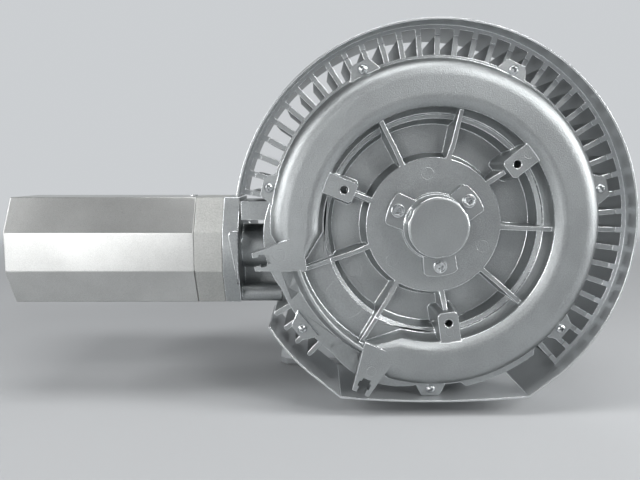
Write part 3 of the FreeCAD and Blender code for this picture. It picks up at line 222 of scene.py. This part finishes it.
# Impeller cover. An aluminium casting, shot-blasted to a matt silver. Its wall is smooth and
# rolls over at every edge, and the pins that pushed it from the mould left faint rings on it.
def blasted_casting(name, colour, grains, depth, roughness, marks=()):
    """Aluminium as cast and blasted: fine grains, broad cloudy tone, and rings of ejector pins."""
    material, shader, place = finish_of(name, Metallic=0.92)
    fine = place.grain(grains, 3.0, 0.6)
    cloud_grains = 17.0
    cloud = place.grain(cloud_grains, 3.0, 0.55)
    share = (fine * 0.6 + cloud * 0.4).ramp(0.36, 0.64)
    dark = tuple(part * 0.86 for part in colour) + (1.0,)
    light = tuple(min(part * 1.1, 1.0) for part in colour) + (1.0,)
    height = fine
    ring_half = 0.0006
    ring_share = 0.45
    across, _, up = place.parts()
    for mark_x, mark_z, mark_r in marks:
        side, rise = across - mark_x, up - mark_z
        off = ((side * side + rise * rise).root() - mark_r).size()
        ring = 1.0 - (off / ring_half).at_most(1.0)
        height = height - ring * ring_share
    place.plug(share.blend(dark, light), shader.inputs["Base Color"])
    place.plug(roughness + (fine - 0.5) * 0.3, shader.inputs["Roughness"])
    place.plug(height.relief(depth), shader.inputs["Normal"])
    return material


def worn_edge(name, colour, roughness=0.24):
    """The same metal, lighter and smoother where handling and blasting have burnished an edge; its
    lighter colour also paints a highlight along every rounded edge.
    """
    material, shader, place = finish_of(name, Metallic=1.0)
    fine = place.grain(500.0, 3.0, 0.6)
    dark = tuple(part * 0.75 for part in colour) + (1.0,)
    # Painted highlight and wear: the edge colour is much lighter than the metal's and stands in for
    # lamp light caught on the rounded edges.
    place.plug(fine.ramp(0.3, 0.55).blend(dark, (*colour, 1.0)), shader.inputs["Base Color"])
    place.plug(roughness + (fine - 0.5) * 0.25, shader.inputs["Roughness"])
    return material


slots = {entry["node"]: entry["material_slot"] for entry in frame["record"]["subparts"]}


def copied(node_name):
    """A mesh of a node with its triangles joined."""
    mesh = bmesh.new()
    mesh.from_mesh(frame["nodes"][node_name].data)
    bmesh.ops.remove_doubles(mesh, verts=mesh.verts, dist=0.00002)
    return mesh


def added(mesh, name, material, node_name, edge=0.0, crease=30.0, worn=None):
    """A bmesh as a piece beside the node, with every edge over crease rounded.

    The rounded edges are of the material worn, where there is one; its lighter colour paints a
    highlight along them.
    """
    bmesh.ops.dissolve_degenerate(mesh, edges=mesh.edges, dist=0.00002)
    bmesh.ops.dissolve_limit(mesh, angle_limit=math.radians(0.6), verts=mesh.verts,
                             edges=mesh.edges, delimit={"NORMAL"})
    for face in mesh.faces:
        face.smooth = True
    data = bpy.data.meshes.new(name)
    mesh.to_mesh(data)
    mesh.free()
    data.materials.append(material)
    piece = bpy.data.objects.new(name, data)
    scene.collection.objects.link(piece)
    if edge:
        bevel = piece.modifiers.new("rounded_edges", "BEVEL")
        bevel.width = edge
        bevel.segments = 2
        bevel.limit_method = "ANGLE"
        bevel.angle_limit = math.radians(crease)
        bevel.use_clamp_overlap = False
        bevel.miter_outer = "MITER_ARC"
        # The bevel faces take the lighter edge material, which paints a highlight along every rounded
        # edge.
        if worn:
            data.materials.append(worn)
            bevel.material = 1
        weight = piece.modifiers.new("flat_faces", "WEIGHTED_NORMAL")
        weight.mode = "FACE_AREA_WITH_ANGLE"
        weight.weight = 50
    else:
        data.set_sharp_from_angle(angle=math.radians(crease))
    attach(piece, frame["nodes"][node_name]["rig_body"])
    return piece


def shown(mesh, name, material, node_name, **finish):
    """A bmesh as a piece that stands for the node."""
    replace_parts(added(mesh, name, material, node_name, **finish), node_name)


silver = (0.37, 0.387, 0.392)
pin_marks = [(-0.0067, 0.0528, 0.006), (0.0512, -0.0211, 0.006), (-0.0415, -0.0355, 0.006),
             (-0.1551, -0.0277, 0.006), (-0.0633, -0.1448, 0.005), (-0.0892, -0.0752, 0.021),
             (0.1325, -0.0716, 0.006), (-0.1040, 0.0408, 0.0042), (0.0878, 0.0715, 0.0042),
             (0.0159, -0.1063, 0.0042)]
cover_silver = blasted_casting("cover_silver", silver, grains=900.0, depth=0.0006,
                               roughness=0.38, marks=pin_marks)
# Edge material: burnished wear, and a near-white colour that paints a highlight on the rounded edges.
edge_wear_and_painted_highlight = worn_edge("burnished_and_highlit_edge", (0.92, 0.94, 0.95))


def polar(point):
    """A point's distance from the rotor axis and its angle about it."""
    return math.hypot(point.x, point.z), math.atan2(point.z, point.x)


def nearest(angle, first, step):
    """The angle of the rib or lug that is next to this angle."""
    return first + round((angle - first) / step) * step


near = 0.0002
rib_first = math.radians(-1.65)
rib_step = math.radians(40.0)
rib_half = 0.00225
rib_start, rib_stop = 0.060, 0.128
rib_crown, rib_foot = 0.0076, 0.040
rib_draft = math.tan(math.radians(2.6))
cover = copied("impeller_cover")
for vert in cover.verts:
    reach, angle = polar(vert.co)
    if rib_start < reach < rib_stop and rib_crown < vert.co.y < rib_foot:
        rib = nearest(angle, rib_first, rib_step)
        side = reach * math.sin(angle - rib)
        if abs(abs(side) - rib_half) < near:
            spread = (vert.co.y - rib_crown) * rib_draft * math.copysign(1.0, side)
            vert.co += spread * Vector((-math.sin(rib), 0.0, math.cos(rib)))

lug_angle = 38.35
lug_corner, lug_end = 0.08742, 0.08889
lug_narrowing = 0.83
lug_growth = 0.0014
lug_gap = 0.0003
for vert in cover.verts:
    if abs(vert.co.y) < near:
        reach, angle = polar(vert.co)
        lug = nearest(angle, math.radians(lug_angle), math.tau / 3)
        along, aside = reach * math.cos(angle - lug), reach * math.sin(angle - lug)
        if abs(along - lug_corner) < lug_gap:
            aside *= lug_narrowing
        elif abs(along - lug_end) < lug_gap:
            along += lug_growth
        vert.co.x = along * math.cos(lug) - aside * math.sin(lug)
        vert.co.z = along * math.sin(lug) + aside * math.cos(lug)


def tilted_patch(mesh, depth, corners):
    """A four-cornered patch of the flat face at this depth, moved in by a sink at each corner.

    Its edges are split, so that they stay sharp.
    """
    def on_the_face(face):
        return all(abs(corner.co.y - depth) < near / 2 for corner in face.verts)

    softness = 0.0005
    ring = [Vector((x, depth, z)) for x, z, _ in corners]
    middle = sum(ring, Vector()) / len(ring)
    walls = []
    for first, second in zip(ring, ring[1:] + ring[:1]):
        out = (second - first).cross(Vector((0, 1, 0))).normalized()
        walls.append((first, out if out.dot(middle - first) < 0 else -out))
    for first, out in walls:
        flat = [face for face in mesh.faces if on_the_face(face)]
        sides = {side for face in flat for side in face.edges}
        points = {corner for face in flat for corner in face.verts}
        bmesh.ops.bisect_plane(mesh, geom=flat + list(sides) + list(points), dist=0.000001,
                               plane_co=first, plane_no=out)
    inside = []
    for face in mesh.faces:
        place = face.calc_center_median()
        if on_the_face(face) and all(out.dot(place - first) < 0 for first, out in walls):
            inside.append(face)
    made = bmesh.ops.extrude_face_region(mesh, geom=inside)
    bmesh.ops.delete(mesh, geom=inside, context="FACES_ONLY")
    moved = [item for item in made["geom"] if isinstance(item, bmesh.types.BMVert)]
    for vert in moved:
        shares = [1.0 / ((vert.co - corner).length + softness) ** 2 for corner in ring]
        sinks = [share * sink for share, (_, _, sink) in zip(shares, corners)]
        vert.co.y += sum(sinks) / sum(shares)
    steps = {side for vert in moved for face in vert.link_faces for side in face.edges}
    bmesh.ops.split_edges(mesh, edges=list(steps))


flange_depth = 0.0162
sunk_patch = [(-0.1546, -0.0474, 0.0006), (-0.1395, -0.0474, 0.0032),
              (-0.1370, -0.0690, 0.0034), (-0.1443, -0.0761, 0.0010)]
raised_patch = [(-0.0974, -0.1170, -0.0002), (-0.0730, -0.1334, -0.0002),
                (-0.0769, -0.1464, -0.0022), (-0.1050, -0.1266, -0.0022)]
tilted_patch(cover, flange_depth, sunk_patch)
tilted_patch(cover, flange_depth, raised_patch)

arm_angles = (190.8, 246.1)
slot_half = 0.0067
slot_start = 0.166
slot_back = flange_depth - 0.001
for arm in arm_angles:
    way = Vector((math.cos(math.radians(arm)), 0.0, math.sin(math.radians(arm))))
    aside = way.cross(Vector((0, 1, 0)))
    sharp = [edge for edge in cover.edges
             if all(vert.co.dot(way) > slot_start and abs(vert.co.dot(aside)) < slot_half
                    and vert.co.y < slot_back for vert in edge.verts)]
    bmesh.ops.split_edges(cover, edges=sharp)
shown(cover, "cover_casting", cover_silver, "impeller_cover", edge=0.0006, worn=edge_wear_and_painted_highlight)


# Bearing cap. Cast aluminium, smoother than the cover, with a flat crown over a turned skirt
# and three ears. It is pushed into the cover's bearing seat and held by one screw in each ear.
cap_silver = blasted_casting("cap_silver", silver, grains=1100.0, depth=0.00015, roughness=0.42)
shown(copied("bearing_cap"), "cap_casting", cap_silver, "bearing_cap", edge=0.0005, worn=edge_wear_and_painted_highlight)


# Screws in the front. Zinc-plated steel, each with a cross recess: six-sided flanged heads in
# the cap's ears, and low domed heads round the rim of the cover.
def plated_steel(name, colour, roughness):
    material, shader, place = finish_of(name, Metallic=1.0)
    wear = place.grain(240.0, 3.0, 0.6)
    dark = tuple(part * 0.82 for part in colour) + (1.0,)
    place.plug(wear.ramp(0.35, 0.6).blend(dark, (*colour, 1.0)), shader.inputs["Base Color"])
    place.plug(roughness + (wear - 0.5) * 0.15, shader.inputs["Roughness"])
    return material


def crossed(mesh, length, width, depth, taper):
    """A cross recess sunk from the top of a head that stands on the Z axis."""
    for normal in (Vector((1, 0, 0)), Vector((0, 1, 0))):
        for offset in (-length, -width, width, length):
            bmesh.ops.bisect_plane(
                mesh, geom=mesh.verts[:] + mesh.edges[:] + mesh.faces[:], dist=1e-6,
                plane_co=normal * offset, plane_no=normal)
    sunk = []
    for face in mesh.faces:
        middle = face.calc_center_median()
        x, y = abs(middle.x), abs(middle.y)
        if face.normal.z > 0.3 and max(x, y) < length and min(x, y) < width:
            sunk.append(face)
    made = bmesh.ops.extrude_face_region(mesh, geom=sunk)
    floor_verts = [item for item in made["geom"] if isinstance(item, bmesh.types.BMVert)]
    bmesh.ops.delete(mesh, geom=sunk, context="FACES_ONLY")
    bmesh.ops.scale(mesh, verts=floor_verts, vec=(taper, taper, 1.0))
    bmesh.ops.translate(mesh, verts=floor_verts, vec=(0, 0, -depth))


def lathed(profile, steps=36):
    """A turned solid on the Z axis, from a profile of radius and height."""
    mesh = bmesh.new()
    corners = [mesh.verts.new((radius, 0.0, height)) for radius, height in profile]
    sides = [mesh.edges.new(pair) for pair in zip(corners, corners[1:])]
    bmesh.ops.spin(mesh, geom=corners + sides, cent=(0, 0, 0), axis=(0, 0, 1),
                   angle=math.tau, steps=steps, use_merge=True)
    bmesh.ops.remove_doubles(mesh, verts=mesh.verts, dist=0.000001)
    bmesh.ops.recalc_face_normals(mesh, faces=mesh.faces)
    return mesh


def six_sided(corner, low, high, dish):
    """A six-sided head on the Z axis, with a shallow round-edged dish in its top."""
    mesh = bmesh.new()
    bmesh.ops.create_circle(mesh, cap_ends=True, radius=corner, segments=6)
    bmesh.ops.translate(mesh, verts=mesh.verts, vec=(0, 0, low))
    made = bmesh.ops.extrude_face_region(mesh, geom=mesh.faces[:])
    top = [item for item in made["geom"] if isinstance(item, bmesh.types.BMVert)]
    bmesh.ops.translate(mesh, verts=top, vec=(0, 0, high - low))
    bmesh.ops.recalc_face_normals(mesh, faces=mesh.faces)
    crown = [item for item in made["geom"] if isinstance(item, bmesh.types.BMFace)]
    bmesh.ops.inset_region(mesh, faces=crown, thickness=corner * 0.2, depth=0.0)
    bmesh.ops.inset_region(mesh, faces=crown, thickness=corner * 0.06, depth=-dish)
    return mesh


def set_out(heads, places):
    """Copies of one screw, made of the given meshes, at each place."""
    group = bmesh.new()
    for head in heads:
        data = bpy.data.meshes.new("screw")
        head.to_mesh(data)
        head.free()
        for place in places:
            before = len(group.verts)
            group.from_mesh(data)
            group.verts.ensure_lookup_table()
            bmesh.ops.transform(group, matrix=place, verts=group.verts[before:])
        bpy.data.meshes.remove(data)
    return group


def on_the_front(radius, angle, depth, turn):
    """The place of a screw that is seen from the front, with its head towards the viewer."""
    angle = math.radians(angle)
    out = Vector((math.cos(angle), 0.0, math.sin(angle)))
    aside = Vector((-math.sin(angle), 0.0, math.cos(angle)))
    place = Matrix((out, aside, (0.0, -1.0, 0.0))).transposed().to_4x4()
    place.translation = out * radius + Vector((0.0, depth, 0.0))
    return place @ Matrix.Rotation(math.radians(turn), 4, "Z")


zinc = plated_steel("bright_zinc", (0.70, 0.72, 0.73), 0.22)
cap_circle = 0.041
cap_first = 37.66
ear_face = 0.0055
cap_head = six_sided(corner=0.0056, low=0.0012, high=0.0048, dish=0.0008)
crossed(cap_head, length=0.0029, width=0.0008, depth=0.0030, taper=0.45)
cap_washer = lathed([(0.0, -0.012), (0.003, -0.012), (0.003, 0.0), (0.0066, 0.0), (0.007, 0.0004),
                     (0.0068, 0.0010), (0.0056, 0.0014), (0.0, 0.0014)])
shown(set_out([cap_head, cap_washer], [
    on_the_front(cap_circle, cap_first + 120.0 * number, ear_face, turn)
    for number, turn in enumerate((12.0, 40.0, 22.0))]),
    "cap_screw_heads", zinc, "cap_screws", edge=0.0002, crease=35.0)

rim_circle = 0.170
rim_first = 12.74
tab_face = 0.0124
rim_head = lathed([(0.0, 0.0038), (0.0012, 0.0037), (0.0026, 0.0033), (0.0038, 0.0026),
                   (0.0046, 0.0017), (0.0049, 0.0008), (0.0049, 0.0), (0.0025, 0.0),
                   (0.0025, -0.0246), (0.0, -0.0246)])
crossed(rim_head, length=0.0028, width=0.0008, depth=0.0026, taper=0.5)
shown(set_out([rim_head], [
    on_the_front(rim_circle, rim_first + 360.0 / 7 * number, tab_face, turn)
    for number, turn in enumerate((10.0, 32.0, 55.0, 5.0, 71.0, 20.0, 44.0))]),
    "rim_screw_heads", zinc, "cover_screws", crease=35.0)


# Impeller housing. Cast in the same aluminium as the cover, with thin fins all round that the
# fan's air passes, and the two ducts that lead to the silencer flanges on the left.
housing_silver = blasted_casting("housing_silver", silver, grains=750.0, depth=0.0006,
                                 roughness=0.42)
shown(copied("impeller_housing"), "housing_casting", housing_silver, "impeller_housing",
      edge=0.0006, worn=edge_wear_and_painted_highlight)


# Rim on the front flange of the ducts. A cast rib in the shape of a wedge with a round top,
# which stiffens the flange beside the front duct.
rim = bmesh.new()
rim_line = [(-0.2090, -0.0140), (-0.2092, -0.0105), (-0.2080, -0.0078), (-0.2056, -0.0064),
            (-0.1992, -0.0060), (-0.1992, -0.0616), (-0.2002, -0.0616)]
flange_front = 0.0244
rim_root = 0.001
rim_height = 0.0024
rim.faces.new([rim.verts.new((x, flange_front + rim_root, z)) for x, z in rim_line])
grown = bmesh.ops.extrude_face_region(rim, geom=rim.faces[:])
bmesh.ops.translate(rim, vec=(0, -rim_root - rim_height, 0),
                    verts=[item for item in grown["geom"] if isinstance(item, bmesh.types.BMVert)])
bmesh.ops.recalc_face_normals(rim, faces=rim.faces)
added(rim, "duct_flange_rim", housing_silver, "impeller_housing", edge=0.0009, worn=edge_wear_and_painted_highlight)


# Shroud. Bent from sheet and powder-coated in a satin silver, with a slotted rim whose fingers
# stop just short of the fins.
def coated_sheet(name, colour, roughness):
    material, shader, place = finish_of(name, Metallic=0.6, Coat_Weight=0.15)
    fine = place.grain(1500.0, 2.0, 0.5)
    cloud = place.grain(9.0, 2.0, 0.5)
    dark = tuple(part * 0.92 for part in colour) + (1.0,)
    place.plug(cloud.ramp(0.35, 0.65).blend(dark, (*colour, 1.0)), shader.inputs["Base Color"])
    place.plug(roughness + (fine - 0.5) * 0.2, shader.inputs["Roughness"])
    place.plug(fine.relief(0.0001, 0.4), shader.inputs["Normal"])
    return material


shroud_silver = coated_sheet("shroud_silver", (0.47, 0.49, 0.50), 0.38)
shown(copied("fan_shroud"), "shroud_sheet", shroud_silver, "fan_shroud", edge=0.0004,
      worn=edge_wear_and_painted_highlight)


# Silencers. Each is an eight-sided tube with a satin skin on a sand-cast adapter, with foam
# inside and a threaded port at the left end. Two small screws hold each tube to its adapter.
adapter_grey = blasted_casting("sand_cast_grey", (0.50, 0.505, 0.49), grains=620.0,
                               depth=0.0007, roughness=0.55)
tube_satin = blasted_casting("satin_tube", (0.56, 0.565, 0.555), grains=1500.0,
                             depth=0.0001, roughness=0.34)
for side in ("front", "rear"):
    shown(copied(side + "_silencer_adapter"), side + "_adapter_casting", adapter_grey,
          side + "_silencer_adapter", edge=0.0012, crease=20.0)
    shown(copied(side + "_silencer_tube"), side + "_tube_casting", tube_satin,
          side + "_silencer_tube", edge=0.0012, crease=20.0)


# Threads of the two ports and the three lugs. Cut in the castings, so their crests stand in
# the bores as fine rings.
def thread(radius, depth, pitch, length):
    """The rings of a thread inside a bore, open at both ends, on the Z axis."""
    mesh = bmesh.new()
    points = []
    for number in range(int(length / pitch) * 2 + 1):
        out = radius - (depth if number % 2 else 0.0)
        points.append(mesh.verts.new((out, 0.0, number * pitch / 2)))
    sides = [mesh.edges.new(pair) for pair in zip(points, points[1:])]
    bmesh.ops.spin(mesh, geom=points + sides, cent=(0, 0, 0), axis=(0, 0, 1),
                   angle=math.tau, steps=40, use_merge=True)
    bmesh.ops.remove_doubles(mesh, verts=mesh.verts, dist=0.000001)
    bmesh.ops.recalc_face_normals(mesh, faces=mesh.faces)
    if sum((face.calc_center_median() * Vector((1, 1, 0))).dot(face.normal)
           for face in mesh.faces) > 0:
        bmesh.ops.reverse_faces(mesh, faces=mesh.faces)
    return mesh


port_start = 0.001
for side in ("front", "rear"):
    box_low, box_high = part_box(side + "_silencer_tube")
    middle = (box_low + box_high) / 2
    middle.x = box_low.x + port_start
    port = thread(radius=0.0299, depth=0.0011, pitch=0.0023, length=0.022)
    bmesh.ops.transform(port, verts=port.verts, matrix=Matrix.Translation(middle)
                        @ Matrix.Rotation(math.radians(90.0), 4, "Y"))
    added(port, side + "_port_thread", tube_satin, side + "_silencer_tube", crease=80.0)
lug_circle = 0.09864
tapped_end = 0.0168
tapped = set_out([thread(radius=0.00405, depth=0.0005, pitch=0.00125, length=0.015)], [
    on_the_front(lug_circle, lug_angle + 120.0 * number, tapped_end, 0.0) for number in range(3)])
added(tapped, "lug_threads", cover_silver, "impeller_cover", crease=80.0)


# Motor and foot. A finned cast frame with its rear shield, terminal box and lid, behind the
# housing and hardly seen from the front. The fan cowl and the foot are pressed from sheet.
frame_silver = blasted_casting("frame_silver", (0.48, 0.50, 0.50), grains=700.0,
                               depth=0.0003, roughness=0.5)
for node_name in ("motor_frame", "rear_shield", "terminal_box", "terminal_lid"):
    shown(copied(node_name), node_name + "_casting", frame_silver, node_name, edge=0.0007)
shown(copied("base_foot"), "base_foot_sheet", shroud_silver, "base_foot", edge=0.0006)
shown(copied("fan_cowl"), "fan_cowl_sheet", shroud_silver, "fan_cowl")


# Bolts, screws and lifting eye of the motor, the foot and the silencers. Turned or forged from
# steel and zinc-plated, and screwed into the castings behind them.
for node_name in ("motor_bolts", "lifting_eye", "shield_bolts", "cowl_screws", "box_screws",
                  "lid_screws", "foot_bolts", "silencer_screws", "silencer_flange_bolts"):
    shown(copied(node_name), node_name + "_steel", zinc, node_name, edge=0.0003)


# Inner parts, and the gasket and cable gland of the terminal box. Rotor, windings, bearings,
# seals and foam are closed in, and the cooling fan shows only through the slots of its cowl.
# Each keeps the shape of its solid and gets the finish of what it is made of.
def plain_finish(name, colour, metallic, roughness, grains, spread):
    material, shader, place = finish_of(name, Metallic=metallic)
    fine = place.grain(grains, 3.0, 0.6)
    dark = tuple(part * (1.0 - spread) for part in colour) + (1.0,)
    light = tuple(min(part * (1.0 + spread), 1.0) for part in colour) + (1.0,)
    place.plug(fine.ramp(0.35, 0.65).blend(dark, light), shader.inputs["Base Color"])
    place.plug(roughness + (fine - 0.5) * 0.2, shader.inputs["Roughness"])
    place.plug(fine.relief(0.0001), shader.inputs["Normal"])
    return material


inner_finishes = {
    "steel": plain_finish("ground_steel", (0.50, 0.50, 0.51), 1.0, 0.28, 900.0, 0.08),
    "lamination": plain_finish("lamination_steel", (0.28, 0.28, 0.30), 1.0, 0.45, 1200.0, 0.2),
    "copper": plain_finish("wound_copper", (0.55, 0.23, 0.10), 1.0, 0.35, 1100.0, 0.2),
    "rubber": plain_finish("black_rubber", (0.03, 0.03, 0.03), 0.0, 0.7, 500.0, 0.2),
    "foam": plain_finish("grey_foam", (0.10, 0.10, 0.11), 0.0, 0.95, 420.0, 0.5),
    "plastic": plain_finish("black_plastic", (0.04, 0.04, 0.045), 0.0, 0.5, 700.0, 0.15),
    "brass_stud": plain_finish("brass", (0.62, 0.44, 0.18), 1.0, 0.3, 900.0, 0.1),
    "cast_aluminium": frame_silver,
    "zinc_screw": zinc,
}
for node_name, node in frame["nodes"].items():
    if not node.hide_render:
        node.data.materials.clear()
        node.data.materials.append(inner_finishes[slots[node_name]])
